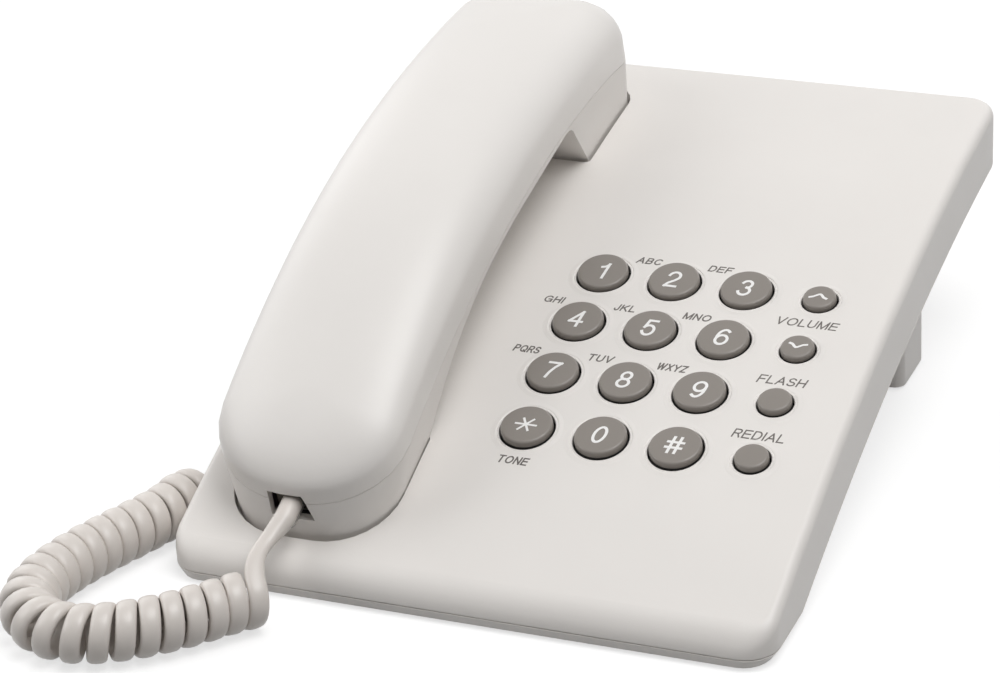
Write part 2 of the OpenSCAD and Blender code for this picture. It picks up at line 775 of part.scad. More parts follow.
module key_1() { key(0, 0); }
module key_2() { key(1, 0); }
module key_3() { key(2, 0); }
module key_4() { key(0, 1); }
module key_5() { key(1, 1); }
module key_6() { key(2, 1); }
module key_7() { key(0, 2); }
module key_8() { key(1, 2); }
module key_9() { key(2, 2); }
module key_star() { key(0, 3); }
module key_0() { key(1, 3); }
module key_hash() { key(2, 3); }
module key_volume_up() { key(3, 0); }
module key_volume_down() { key(3, 1); }
module key_flash() { key(3, 2); }
module key_redial() { key(3, 3); }

module hook_plunger() {
    color(key_color) on_hook() {
        translate([0, 0, plunger_flange_top - 0.1]) cylinder(h = plunger_top - plunger_flange_top + 0.1, d = plunger_d);
        translate([0, 0, plunger_flange_top - plunger_flange_t]) cylinder(h = plunger_flange_t, d = plunger_flange_d);
    }
}

module hook_spring() {
    color(metal_color) on_hook() translate([0, 0, spring_seat]) difference() {
        cylinder(h = spring_top - spring_seat, d = spring_d);
        translate([0, 0, -1]) cylinder(h = 20, d = spring_d - 2);
    }
}

module hook_switch() {
    color(dark_color) on_hook() {
        translate([-4, -17, -20.3]) cube([8, 12, 6]);
        translate([-1.5, -12, -14.4]) cube([3, 2, 1]);
        translate([-1.5, -12, spring_top - 0.6]) cube([3, 8, 0.4]);
    }
}

module ringer_sounder() {
    color(dark_color) on_arch(sounder_x, sounder_s) translate([0, 0, sounder_bottom]) {
        cylinder(h = sounder_h, d = sounder_d);
        translate([0, 0, sounder_h - 0.1]) cylinder(h = 1.5, d = sounder_d * 0.5);
    }
}

module line_jack() {
    color(dark_color) on_rear(line_jack_x) jack_body(line_socket_w, line_jack_deep);
}

module base_handset_jack() {
    color(dark_color) on_left() jack_body(cord_socket_w, base_jack_deep);
}

module base_plug() {
    color(key_color) on_left() translate([0, plug_in, 0]) plug_body();
}

// Slide switch behind the rear wall and its knob in the slot
module slide_switch() {
    difference() {
        translate([-switch_w / 2, 0.1, -3]) cube([switch_w, 6, 6]);
        translate([-knob_w / 2 - knob_slide + 0.5, -1, -1.2]) cube([knob_w + 2 * knob_slide - 1, 4.5, 2.4]);
    }
}

module slide_knob() {
    translate([-knob_w / 2, -wall + 0.2, -knob_h / 2]) cube([knob_w, wall - 0.4, knob_h]);
    translate([-knob_w / 4, -1, -0.8]) cube([knob_w / 2, 4, 1.6]);
}

module ringer_switch() { color(dark_color) on_rear(ringer_x) slide_switch(); }
module ringer_knob() { color(key_color) on_rear(ringer_x) slide_knob(); }
module dial_mode_switch() { color(dark_color) on_rear(dial_x) slide_switch(); }
module dial_mode_knob() { color(key_color) on_rear(dial_x) slide_knob(); }

module board_screws() {
    color(metal_color) each_board_screw() {
        translate([0, 0, -screw_head_h]) cylinder(h = screw_head_h, d = screw_head_d);
        translate([0, 0, -0.1]) cylinder(h = board_t + board_screw_l - 0.5, d = screw_d);
    }
}

module case_screws() {
    color(metal_color) each_case_screw() {
        translate([0, 0, case_seat - screw_head_h]) cylinder(h = screw_head_h, d = screw_head_d);
        translate([0, 0, case_seat - 0.1]) cylinder(h = case_screw_l, d = screw_d);
    }
}

module front_feet() {
    color(dark_color) for (x = [15 - half_w, half_w - 15]) translate([x, 16 - half_d, 0]) cylinder(h = foot_z, d = foot_d);
}

// ---- Stand: an open-topped box under the rear of the base, hung on two hooks ----
stand_wall = 2;
stand_corner = 3;

module stand_prism(w, l, r, z0, z1) {
    translate([0, stand_y + stand_l / 2, z0]) linear_extrude(z1 - z0) polygon([
        for (c = [[1, -1, -90], [1, 1, 0], [-1, 1, 90], [-1, -1, 180]], k = [0:5])
            [c.x * (w / 2 - r) + r * cos(c[2] + 18 * k), c.y * (l / 2 - r) + r * sin(c[2] + 18 * k)]
    ]);
}

module stand() {
    y0 = stand_y;
    y1 = stand_y + stand_l;
    color(cover_color) {
        difference() {
            intersection() {
                stand_prism(stand_w, stand_l, stand_corner, foot_z, rear_h);
                translate([-base_w / 2, 0, 0]) rotate([90, 0, 90]) linear_extrude(base_w) polygon([
                    [y0 - 1, 0], [y1 + 1, 0], [y1, belly_z(y1) - fit], [y0, belly_z(y0) - fit]]);
            }
            stand_prism(stand_w - 2 * stand_wall, stand_l - 2 * stand_wall, 1, foot_z + stand_wall, rear_h);
        }
        for (x = [-stand_w / 6, stand_w / 6]) translate([x - stand_wall / 2, y0 + 1, foot_z + 1])
            cube([stand_wall, stand_l - 2, 22]);
        for (x = [-hook_slot_x, hook_slot_x]) translate([x - hook_slot_w / 2, y0 + 1, foot_z + 1]) {
            cube([hook_slot_w, 4 + fit + stand_wall, 24]);
            translate([0, 4 + fit, 20]) cube([hook_slot_w, stand_wall, belly_z(y0) - foot_z - 1 - 20 + wall + 1.6]);
            translate([0, 4 + fit, belly_z(y0) - foot_z - 1 + wall + 0.8]) cube([hook_slot_w, stand_wall + 1, 1.4]);
        }
    }
}

module stand_feet() {
    foot_x = stand_w / 2 - 6.75;
    color(dark_color) for (x = [-foot_x, foot_x]) translate([x, stand_y + stand_l / 2, 0]) cylinder(h = foot_z, d = foot_d);
}

// ---- Cord: tubes swept along smooth routes ----
function unit(v) = v / norm(v);
function spline(p0, p1, p2, p3, t) = 0.5 * (2 * p1 + (p2 - p0) * t
    + (2 * p0 - 5 * p1 + 4 * p2 - p3) * t ^ 2 + (3 * p1 - p0 - 3 * p2 + p3) * t ^ 3);
function route(p, steps) = let(n = len(p)) concat(
    [for (i = [0:n - 2], k = [0:steps - 1])
        spline(p[max(i - 1, 0)], p[i], p[i + 1], p[min(i + 2, n - 1)], k / steps)],
    [p[n - 1]]
);
function heading(p, i) = unit(p[min(i + 1, len(p) - 1)] - p[max(i - 1, 0)]);
// Direction of a tube at point i; its ends take the directions of what they meet
function tube_way(p, i, from, to) = i == 0 ? from : i == len(p) - 1 ? to : heading(p, i);
function tube_ring(p, i, d, sides, from, to) = let(
    t = tube_way(p, i, from, to), across = unit(cross(t, [0, 0, 1])), up = cross(across, t))
    [for (k = [0:sides - 1]) let(a = 360 * (k + 0.5) / sides)
        p[i] + d / 2 * (cos(a) * across + sin(a) * up)];

module tube(p, d, sides, from, to) {
    n = len(p);
    polyhedron(
        [for (i = [0:n - 1]) each tube_ring(p, i, d, sides, from, to)],
        concat(
            [for (i = [0:n - 2], k = [0:sides - 1]) let(a = i * sides + k, b = i * sides + (k + 1) % sides)
                each [[a, b, b + sides], [a, b + sides, a + sides]]],
            [[for (k = [sides - 1:-1:0]) k], [for (k = [0:sides - 1]) (n - 1) * sides + k]]
        )
    );
}

lead_h = 7.2;
// Centre and outward direction of the plug's stub of cord on the handset and on the base
hs_stub_way = unit(arch(0, hs_jack_s - 1, hs_jack_h) - arch(0, hs_jack_s + 1, hs_jack_h));
hs_stub_end = arch(-handset_x, hs_jack_s, hs_jack_h) + hs_stub_way * (hs_jack_l / 2 + stub_l - plug_in)
    + cross(hs_stub_way, [1, 0, 0]) * stub_up;
base_tilt = face_tilt(base_jack_y);
base_stub_end = [-half_w + wall + plug_in - stub_l, base_jack_y, face_z(base_jack_y)]
    + (stub_up - base_jack_drop) * [0, -sin(base_tilt), cos(base_tilt)];
handset_route = [hs_stub_end, [-45, -104, 19], [-44, -108, 14.5], [-43, -110.5, 9], [-45, -112.8, lead_h]];
coil_route = [
    [-45, -112.8, lead_h], [-49.5, -117.5, lead_h], [-55, -124, lead_h], [-61, -130, lead_h],
    [-67.5, -135, lead_h], [-74.5, -138.5, lead_h], [-82, -139.5, lead_h], [-89, -137, lead_h],
    [-94, -131.5, lead_h], [-96, -124, lead_h], [-95.5, -116, lead_h], [-93.5, -107.5, lead_h],
    [-90.5, -99, lead_h], [-87, -90.5, lead_h], [-84, -82, lead_h], [-82.4, -73, lead_h]
];
base_route = [
    [-82.4, -73, lead_h], [-82.5, -64, 3.6], [-83, -55, 2.7], [-84, -44, 2.7], [-86, -32, 6], [-88, -22, 15],
    [-87, -14.5, 25], base_stub_end
];
coil_line = route(coil_route, 2);
coil_start_way = heading(coil_line, 0);
coil_end_way = heading(coil_line, len(coil_line) - 1);

module cord_lead_handset() {
    color(cover_color) tube(route(handset_route, 3), cord_d, 10, hs_stub_way, coil_start_way);
}

module cord_coil() {
    color(cover_color) tube(coil_line, coil_d, 12, coil_start_way, coil_end_way);
}

module cord_lead_base() {
    color(cover_color) tube(route(base_route, 3), cord_d, 10, coil_end_way, [1, 0, 0]);
}

upper_cover();
lower_cover();
main_board();
board_components();
keypad_mat();
key_1();
key_2();
key_3();
key_4();
key_5();
key_6();
key_7();
key_8();
key_9();
key_star();
key_0();
key_hash();
key_volume_up();
key_volume_down();
key_flash();
key_redial();
hook_plunger();
hook_spring();
hook_switch();
ringer_sounder();
line_jack();
base_handset_jack();
ringer_switch();
ringer_knob();
dial_mode_switch();
dial_mode_knob();
board_screws();
case_screws();
front_feet();
stand();
stand_feet();
handset_upper_shell();
handset_lower_shell();
receiver_capsule();
receiver_ring();
microphone();
microphone_boot();
handset_weight();
handset_jack();
handset_screws();
handset_plug();
base_plug();
cord_lead_handset();
cord_coil();
cord_lead_base();
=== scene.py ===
"""Looks of a corded desk telephone: wedge base with an arched face, handset in its cradle, curly cord."""
import math

import bpy
import numpy as np
from mathutils import Matrix, Vector


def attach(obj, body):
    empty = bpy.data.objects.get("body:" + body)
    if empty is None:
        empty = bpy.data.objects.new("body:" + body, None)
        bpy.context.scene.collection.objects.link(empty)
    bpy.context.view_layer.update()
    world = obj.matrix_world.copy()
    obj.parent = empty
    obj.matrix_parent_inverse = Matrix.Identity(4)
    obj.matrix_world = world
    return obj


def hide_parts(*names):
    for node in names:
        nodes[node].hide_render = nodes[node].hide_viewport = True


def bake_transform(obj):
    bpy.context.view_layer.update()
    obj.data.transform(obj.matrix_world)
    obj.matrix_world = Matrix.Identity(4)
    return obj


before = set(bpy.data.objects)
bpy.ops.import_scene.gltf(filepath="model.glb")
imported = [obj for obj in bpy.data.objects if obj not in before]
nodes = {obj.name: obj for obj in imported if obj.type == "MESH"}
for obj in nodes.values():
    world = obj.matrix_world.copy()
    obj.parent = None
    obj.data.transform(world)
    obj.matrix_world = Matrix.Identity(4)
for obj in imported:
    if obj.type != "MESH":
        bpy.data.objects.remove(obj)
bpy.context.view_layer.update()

MM = 0.001
scene = bpy.context.scene

# ---------------------------------------------------------------- sizes in mm, as in the part's source
FACE_R = 626.0
BASE_D = 200.0
FRONT_H = 8.4
REAR_H = 60.5
PAD_X, PAD_Y = 27.8, 25.6
KEY_PITCH = 18.7
KEY_H = 1.8
KEY_R = 6.35
SMALL_KEY_R = 4.1
HANDSET_X = 44.2
COIL_D = 14.0
CORD_D = 4.6

# The face is an arc across the depth of the base, from its front edge to its rear edge
chord_tilt = math.atan((REAR_H - FRONT_H) / BASE_D)
half_chord = math.hypot(BASE_D / 2, (REAR_H - FRONT_H) / 2)
arch_dist = math.sqrt(FACE_R ** 2 - half_chord ** 2)
ARCH_Y = arch_dist * math.sin(chord_tilt)
ARCH_Z = (FRONT_H + REAR_H) / 2 - arch_dist * math.cos(chord_tilt)
ARCH_START = -math.asin(ARCH_Y / FACE_R)


def arch(x, s, h):
    """Point x across, s along the face and h above it, in millimetres."""
    a = ARCH_START + s / FACE_R
    return np.array([x, ARCH_Y + (FACE_R + h) * math.sin(a), ARCH_Z + (FACE_R + h) * math.cos(a)])


def face_z(y):
    """Height of the face at y."""
    return ARCH_Z + math.sqrt(FACE_R ** 2 - (y - ARCH_Y) ** 2)


# ---------------------------------------------------------------- camera
# Fitted to the base's corners and the key grid in the photo
CAMERA_AT = (0.28028, -0.71335, 0.39961)
CAMERA_RIGHT = (0.92602, 0.37398, -0.05121)
CAMERA_UP = (-0.12056, 0.42158, 0.89874)
CAMERA_BACK = (0.35770, -0.82608, 0.43548)
SENSOR_MM = 36.0
LENS_MM = 122.39
CLIP_FROM_M, CLIP_TO_M = 0.05, 20.0

camera_data = bpy.data.cameras.new("camera")
camera_data.sensor_width = SENSOR_MM
camera_data.lens = LENS_MM
camera_data.clip_start = CLIP_FROM_M
camera_data.clip_end = CLIP_TO_M
camera = bpy.data.objects.new("camera", camera_data)
scene.collection.objects.link(camera)
turn = Matrix((CAMERA_RIGHT, CAMERA_UP, CAMERA_BACK)).transposed().to_4x4()
camera.matrix_world = Matrix.Translation(CAMERA_AT) @ turn
scene.camera = camera


# ---------------------------------------------------------------- helpers
def unit(v):
    return v / np.linalg.norm(v)


def new_mesh(name, verts, faces, material, smooth=True):
    """Object from vertices in metres."""
    mesh = bpy.data.meshes.new(name)
    mesh.from_pydata([tuple(v) for v in verts], [], [tuple(f) for f in faces])
    mesh.validate()
    mesh.update()
    if smooth:
        for p in mesh.polygons:
            p.use_smooth = True
    obj = bpy.data.objects.new(name, mesh)
    scene.collection.objects.link(obj)
    mesh.materials.append(material)
    return obj


def catmull(points, per):
    """Smooth curve through the points, per steps to a stretch, as the part's source does."""
    p = np.array(points, float)
    n = len(p)
    out = []
    for i in range(n - 1):
        p0, p1, p2, p3 = p[max(i - 1, 0)], p[i], p[i + 1], p[min(i + 2, n - 1)]
        for k in range(per):
            t = k / per
            out.append(0.5 * (2 * p1 + (p2 - p0) * t + (2 * p0 - 5 * p1 + 4 * p2 - p3) * t ** 2
                              + (3 * p1 - p0 - 3 * p2 + p3) * t ** 3))
    out.append(p[-1])
    return np.array(out)


def hermite(a, b, ta, tb, n):
    """Curve from a to b with end tangents ta and tb, without its last point."""
    t = np.linspace(0, 1, n, endpoint=False)[:, None]
    return ((2 * t ** 3 - 3 * t ** 2 + 1) * a + (t ** 3 - 2 * t ** 2 + t) * ta
            + (-2 * t ** 3 + 3 * t ** 2) * b + (t ** 3 - t ** 2) * tb)


# ---------------------------------------------------------------- materials
# Broad mottle of the colour, smudges of the roughness and what they take off and add, fine grain
MOTTLE_SCALE, MOTTLE_DETAIL = 22.0, 3.0
MOTTLE_FROM, MOTTLE_TO = 0.3, 0.7
SMUDGE_SCALE, SMUDGE_DETAIL = 60.0, 4.0
SMOOTHER, ROUGHER = 0.05, 0.06
GRAIN_DETAIL = 2.0
GRAIN_DEPTH_M = 0.0003


def noise(nt, coords, scale, detail):
    """Noise over the object's own coordinates."""
    node = nt.nodes.new("ShaderNodeTexNoise")
    node.inputs["Scale"].default_value = scale
    node.inputs["Detail"].default_value = detail
    nt.links.new(coords.outputs["Object"], node.inputs["Vector"])
    return node.outputs["Fac"]


def plastic(name, color, roughness, mottle=0.015, grain=0.02, grain_scale=2600.0):
    """Moulded plastic: faint mottle, fine grain, and roughness that varies over the surface."""
    mat = bpy.data.materials.new(name)
    mat.use_nodes = True
    nt = mat.node_tree
    nt.nodes.clear()
    out = nt.nodes.new("ShaderNodeOutputMaterial")
    bsdf = nt.nodes.new("ShaderNodeBsdfPrincipled")
    nt.links.new(bsdf.outputs["BSDF"], out.inputs["Surface"])
    coords = nt.nodes.new("ShaderNodeTexCoord")

    ramp = nt.nodes.new("ShaderNodeValToRGB")
    dark, light = ramp.color_ramp.elements
    dark.position = MOTTLE_FROM
    light.position = MOTTLE_TO
    dark.color = (*[c * (1 - mottle) for c in color], 1)
    light.color = (*[min(1, c * (1 + mottle)) for c in color], 1)
    nt.links.new(noise(nt, coords, MOTTLE_SCALE, MOTTLE_DETAIL), ramp.inputs["Fac"])
    nt.links.new(ramp.outputs["Color"], bsdf.inputs["Base Color"])

    rough = nt.nodes.new("ShaderNodeMapRange")
    rough.inputs["To Min"].default_value = roughness - SMOOTHER
    rough.inputs["To Max"].default_value = roughness + ROUGHER
    nt.links.new(noise(nt, coords, SMUDGE_SCALE, SMUDGE_DETAIL), rough.inputs["Value"])
    nt.links.new(rough.outputs["Result"], bsdf.inputs["Roughness"])

    bump = nt.nodes.new("ShaderNodeBump")
    bump.inputs["Strength"].default_value = grain
    bump.inputs["Distance"].default_value = GRAIN_DEPTH_M
    nt.links.new(noise(nt, coords, grain_scale, GRAIN_DETAIL), bump.inputs["Height"])
    nt.links.new(bump.outputs["Normal"], bsdf.inputs["Normal"])
    return mat


def set_shader(mat, name, value):
    """Set one value on the material's main shader."""
    for node in mat.node_tree.nodes:
        if node.type == "BSDF_PRINCIPLED":
            node.inputs[name].default_value = value


COVER = plastic("cover_plastic", (0.775, 0.745, 0.715), 0.42, grain=0.05)
HANDSET = plastic("handset_plastic", (0.785, 0.757, 0.728), 0.36, grain=0.04)
KEY = plastic("key_plastic", (0.235, 0.212, 0.190), 0.33, mottle=0.03, grain=0.06)
JACKET = plastic("cord_jacket", (0.70, 0.652, 0.61), 0.32, mottle=0.02, grain=0.03)
RUBBER = plastic("soft_rubber", (0.03, 0.03, 0.03), 0.75, mottle=0.1, grain=0.2, grain_scale=1200.0)
DARK = plastic("dark_plastic", (0.02, 0.02, 0.02), 0.5, mottle=0.1, grain=0.1)
SOCKET = plastic("socket_plastic", (0.24, 0.215, 0.185), 0.45, mottle=0.04, grain=0.06)
PLUG = plastic("plug_plastic", (0.80, 0.78, 0.74), 0.15, mottle=0.02, grain=0.01)
BOARD = plastic("board_laminate", (0.20, 0.11, 0.035), 0.5, mottle=0.12, grain=0.1)
PRINT = plastic("white_print", (0.86, 0.85, 0.84), 0.5, mottle=0.01, grain=0.0)
GREY_PRINT = plastic("grey_print", (0.13, 0.118, 0.108), 0.5, mottle=0.02, grain=0.0)
STEEL = plastic("plated_steel", (0.62, 0.62, 0.60), 0.32, mottle=0.04, grain=0.03, grain_scale=900.0)
set_shader(PLUG, "Transmission Weight", 0.6)
set_shader(STEEL, "Metallic", 1.0)

# Nodes that aren't named here are of dark plastic
MATERIAL_OF = {
    "handset_upper_shell": HANDSET, "handset_lower_shell": HANDSET,
    "upper_cover": COVER, "lower_cover": COVER, "stand": COVER,
    "hook_plunger": KEY, "ringer_knob": KEY, "dial_mode_knob": KEY,
    "keypad_mat": RUBBER, "receiver_ring": RUBBER, "microphone_boot": RUBBER,
    "front_feet": RUBBER, "stand_feet": RUBBER,
    "hook_spring": STEEL, "board_screws": STEEL, "case_screws": STEEL, "handset_screws": STEEL,
    "handset_weight": STEEL, "microphone": STEEL,
    "handset_jack": SOCKET, "main_board": BOARD, "handset_plug": PLUG, "base_plug": PLUG,
}


# Angles in degrees over which an edge stays sharp
EDGE_ANGLE = 32.0
LIP_ANGLE = 50.0
WELD_REACH = 0.002


def smooth(obj, angle=EDGE_ANGLE):
    """Smooth shading with the sharp edges and the flat faces kept, by modifiers only."""
    for p in obj.data.polygons:
        p.use_smooth = True
    weld = obj.modifiers.new("weld", "WELD")
    weld.merge_threshold = WELD_REACH * MM
    split = obj.modifiers.new("split", "EDGE_SPLIT")
    split.split_angle = math.radians(angle)
    flat = obj.modifiers.new("flat", "WEIGHTED_NORMAL")
    flat.mode = "FACE_AREA"


for node_name, node_obj in nodes.items():
    if not node_name.startswith("cord_"):
        node_obj.data.materials.clear()
        node_obj.data.materials.append(MATERIAL_OF.get(node_name, DARK))
    smooth(node_obj)

# Axis of the coil, as in the part's source
LEAD_H = 7.2
COIL_ROUTE = [
    (-45, -112.8, LEAD_H), (-49.5, -117.5, LEAD_H), (-55, -124, LEAD_H), (-61, -130, LEAD_H),
    (-67.5, -135, LEAD_H), (-74.5, -138.5, LEAD_H), (-82, -139.5, LEAD_H), (-89, -137, LEAD_H),
    (-94, -131.5, LEAD_H), (-96, -124, LEAD_H), (-95.5, -116, LEAD_H), (-93.5, -107.5, LEAD_H),
    (-90.5, -99, LEAD_H), (-87, -90.5, LEAD_H), (-84, -82, LEAD_H), (-82.4, -73, LEAD_H),
]

# Ends of the stubs of cord on the two plugs: on the arch at the handset, in the side wall at the base
JACK_S, JACK_H = -84.6, 8.1
STUB_OUT, STUB_UP = 13.3, 0.2
JACK_Y, JACK_DROP = -12.0, 9.2
BASE_STUB_X = -80.1
stub_way = unit(arch(0, JACK_S - 1, JACK_H) - arch(0, JACK_S + 1, JACK_H))
stub_normal = unit(arch(0, JACK_S, JACK_H + 1) - arch(0, JACK_S, JACK_H))
STUB_END = arch(-HANDSET_X, JACK_S, JACK_H) + STUB_OUT * stub_way + STUB_UP * stub_normal
jack_tilt = math.asin((ARCH_Y - JACK_Y) / FACE_R)
jack_up = np.array([0, -math.sin(jack_tilt), math.cos(jack_tilt)])
BASE_STUB_END = np.array([BASE_STUB_X, JACK_Y, face_z(JACK_Y)]) + (STUB_UP - JACK_DROP) * jack_up

# Axis of the plain end up to the base's socket, as in the part's source
BASE_ROUTE = [
    (-82.5, -64, 3.6), (-83, -55, 2.7), (-84, -44, 2.7), (-86, -32, 6), (-88, -22, 15),
    (-87, -14.5, 25), tuple(BASE_STUB_END),
]

# Flat wire and its turns
WIRE_HALF_W, WIRE_HALF_T = 2.42, 1.35
WIRE_SIDES = 16
OVAL_POWER = 0.8
ON_DESK = 0.05
COIL_R = COIL_D / 2 - WIRE_HALF_T
PITCH = 5.06
BEND_SPREAD, SPREAD_LIMIT = 0.2, 0.55
START_ANGLE = math.radians(112)

# Where the turns open after the end of the coil, and the pitch that they open to
UNWIND_FROM, UNWIND_TO = -1.0, 24.0
TAIL_PITCH = 60.0
DESK_SOFT = 0.2

# Where the plain end lies flat on the desk, and over what length it settles and rises
LIE_FROM_Y, LIE_TO_Y = -70.0, -28.0
SETTLE, RISE = 10.0, 12.0

# Steps of the route, of the sampled axis and of the finished wire, and the reach of the running means
ROUTE_STEPS = 40
FINE = 0.05
WIRE_STEP = 1.6
AXIS_REACH, BEND_REACH = 3.0, 6.0

# The wire is cut in two here, where the part that follows the handset ends
SPLIT_AT = 40.0

# Slimmer lead at the handset's plug; both ends are as thick as the round stubs that they cover
# Its width lies along LEAD_WIDE, and it leans out of the plug's line by STUB_LEAN
LEAD_PULL = 24.0
LEAD_POINTS = 20
LEAD_HALF_W = 1.95
LEAD_WIDE = np.array([-1.0, 0, 0])
STUB_LEAN = np.array([-0.25, 0, -0.15])
ROUND_START, ROUND_END = 10.0, 34.0
SLEEVE = 5.0
SLEEVE_RINGS = 4

# Points of the last stretch into the base's socket, and the pull of its two ends
ENTRY_POINTS = 18
ENTRY_PULL = 26.0
INTO_WALL = np.array([1.0, 0, 0])


def ease(x):
    """0 to 1 with a soft start and end."""
    x = np.clip(x, 0, 1)
    return x * x * (3 - 2 * x)


def averaged(values, reach):
    """Running mean over reach samples to each side."""
    pad = np.pad(values, ((reach, reach), (0, 0)), mode="edge")
    kernel = np.ones(2 * reach + 1) / (2 * reach + 1)
    return np.stack([np.convolve(pad[:, i], kernel, "valid") for i in range(values.shape[1])], 1)


def along(line):
    """Distance along a line at each of its points."""
    return np.concatenate([[0], np.cumsum(np.linalg.norm(np.diff(line, axis=0), axis=1))])


def rows(values):
    """Each row scaled to length 1."""
    return values / np.linalg.norm(values, axis=1)[:, None]


def curly_wire():
    """Wire of the coil and the plain end: its line, its width's direction, its place on the axis."""
    route = catmull(COIL_ROUTE + BASE_ROUTE, ROUTE_STEPS)
    route_at = along(route)
    coil_length = route_at[(len(COIL_ROUTE) - 1) * ROUTE_STEPS]
    s = np.arange(0, route_at[-1], FINE)
    centre = np.stack([np.interp(s, route_at, route[:, i]) for i in range(3)], 1)
    axis = rows(averaged(np.gradient(centre, s, axis=0), round(AXIS_REACH / FINE)))
    bend = np.linalg.norm(np.gradient(axis, s, axis=0), axis=1)[:, None]
    bend = averaged(bend, round(BEND_REACH / FINE))[:, 0]
    loose = ease((s - coil_length - UNWIND_FROM) / (UNWIND_TO - UNWIND_FROM))

    # The turns stand apart in the bends, and open towards the plain end
    pitch = PITCH / np.clip(1 - BEND_SPREAD * bend * COIL_R, SPREAD_LIMIT, 1)
    pitch += (TAIL_PITCH - pitch) * loose
    angle = START_ANGLE + np.concatenate([[0], np.cumsum(2 * math.pi * FINE / pitch[:-1])])
    side = rows(np.stack([axis[:, 1], -axis[:, 0], np.zeros(len(s))], 1))
    up = np.array([0, 0, 1.0])
    radius = (COIL_R * (1 - loose))[:, None]

    # The opening turns lie on the desk, though the route sinks below them
    lying_at = radius[:, 0] + WIRE_HALF_T + ON_DESK
    centre[:, 2] = (centre[:, 2] + lying_at + np.hypot(centre[:, 2] - lying_at, DESK_SOFT)) / 2
    line = centre + radius * (np.cos(angle)[:, None] * side + np.sin(angle)[:, None] * up)

    # The flat wire rests on the desk where the round one of the part's source would
    lying = ease((line[:, 1] - LIE_FROM_Y) / SETTLE) * ease((LIE_TO_Y - line[:, 1]) / RISE) * loose
    line[:, 2] -= lying * (CORD_D / 2 - WIRE_HALF_T)
    wide = (1 - loose)[:, None] * axis + loose[:, None] * side
    length = along(line)
    at = np.linspace(0, length[-1], round(length[-1] / WIRE_STEP) + 1)
    line = np.stack([np.interp(at, length, line[:, i]) for i in range(3)], 1)
    line[-1] = BASE_STUB_END
    wide = rows(np.stack([np.interp(at, length, wide[:, i]) for i in range(3)], 1))
    return line, wide, np.interp(at, length, s)


def tube(name, line, wide, half_w, half_t):
    """Flat-oval wire along a line, never below the desk.

    wide, half_w and half_t hold its width's direction and half its width and thickness at each point.
    """
    verts, faces = [], []
    n = len(line)
    for i in range(n):
        t = unit(line[min(i + 1, n - 1)] - line[max(i - 1, 0)])
        w = unit(wide[i] - np.dot(wide[i], t) * t)
        r = np.cross(t, w)
        for k in range(WIRE_SIDES):
            a = 2 * math.pi * k / WIRE_SIDES
            ca, sa = math.cos(a), math.sin(a)
            cw = math.copysign(abs(ca) ** OVAL_POWER, ca)
            sw = math.copysign(abs(sa) ** OVAL_POWER, sa)
            point = line[i] + half_w[i] * cw * w + half_t[i] * sw * r
            verts.append((point[0], point[1], max(point[2], ON_DESK)))
    for i in range(n - 1):
        for k in range(WIRE_SIDES):
            a, b = i * WIRE_SIDES + k, i * WIRE_SIDES + (k + 1) % WIRE_SIDES
            faces.append((a, b, b + WIRE_SIDES, a + WIRE_SIDES))
    faces.append(tuple(range(WIRE_SIDES - 1, -1, -1)))
    faces.append(tuple((n - 1) * WIRE_SIDES + k for k in range(WIRE_SIDES)))
    return new_mesh(name, np.array(verts) * MM, faces, JACKET)


wire, wire_wide, wire_at = curly_wire()

# The last stretch turns square to the side wall before its socket
entry_way = unit(wire[-ENTRY_POINTS] - wire[-ENTRY_POINTS - 2])
wire[-ENTRY_POINTS - 1:-1] = hermite(wire[-ENTRY_POINTS - 1], BASE_STUB_END, entry_way * ENTRY_PULL,
                                     INTO_WALL * ENTRY_PULL, ENTRY_POINTS)
split = int(np.searchsorted(wire_at, SPLIT_AT))

# Lead from the handset's stub down into the first turn
stub_dir = unit(stub_way + STUB_LEAN)
wire_dir = unit(wire[1] - wire[0])
lead = hermite(STUB_END, wire[0], stub_dir * LEAD_PULL, wire_dir * LEAD_PULL, LEAD_POINTS)
share = np.linspace(0, 1, LEAD_POINTS)[:, None]
lead_wide = share * wire_wide[0] + (1 - share) * LEAD_WIDE

# Each end goes on over the stub of the CAD plug
sleeve_at = np.linspace(SLEEVE / SLEEVE_RINGS, SLEEVE, SLEEVE_RINGS)
sleeve = np.stack([STUB_END - stub_way * d for d in sleeve_at[::-1]])
base_sleeve = np.stack([BASE_STUB_END + INTO_WALL * d for d in sleeve_at])

handset_part = np.concatenate([sleeve, lead, wire[:split + 1]])
handset_wide = np.concatenate([np.tile(LEAD_WIDE, (len(sleeve), 1)), lead_wide, wire_wide[:split + 1]])
from_start = along(handset_part) - SLEEVE
handset_half_t = WIRE_HALF_W - (WIRE_HALF_W - WIRE_HALF_T) * ease(from_start / ROUND_START)
narrow = ease(from_start / ROUND_START) * ease((along(lead)[-1] - from_start) / ROUND_START)
handset_half_w = WIRE_HALF_W - (WIRE_HALF_W - LEAD_HALF_W) * narrow

base_part = np.concatenate([wire[split:], base_sleeve])
base_wide = np.concatenate([wire_wide[split:], np.tile(wire_wide[-1], (len(base_sleeve), 1))])
from_end = along(base_part)[-1] - SLEEVE - along(base_part)
base_half_t = WIRE_HALF_W - (WIRE_HALF_W - WIRE_HALF_T) * ease(from_end / ROUND_END)
base_half_w = np.full(len(base_part), WIRE_HALF_W)

cord_a = tube("cord_handset_end", handset_part, handset_wide, handset_half_w, handset_half_t)
cord_b = tube("cord_base_end", base_part, base_wide, base_half_w, base_half_t)
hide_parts("cord_lead_handset")
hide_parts("cord_coil", "cord_lead_base")
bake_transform(cord_a)
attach(cord_b, "base")


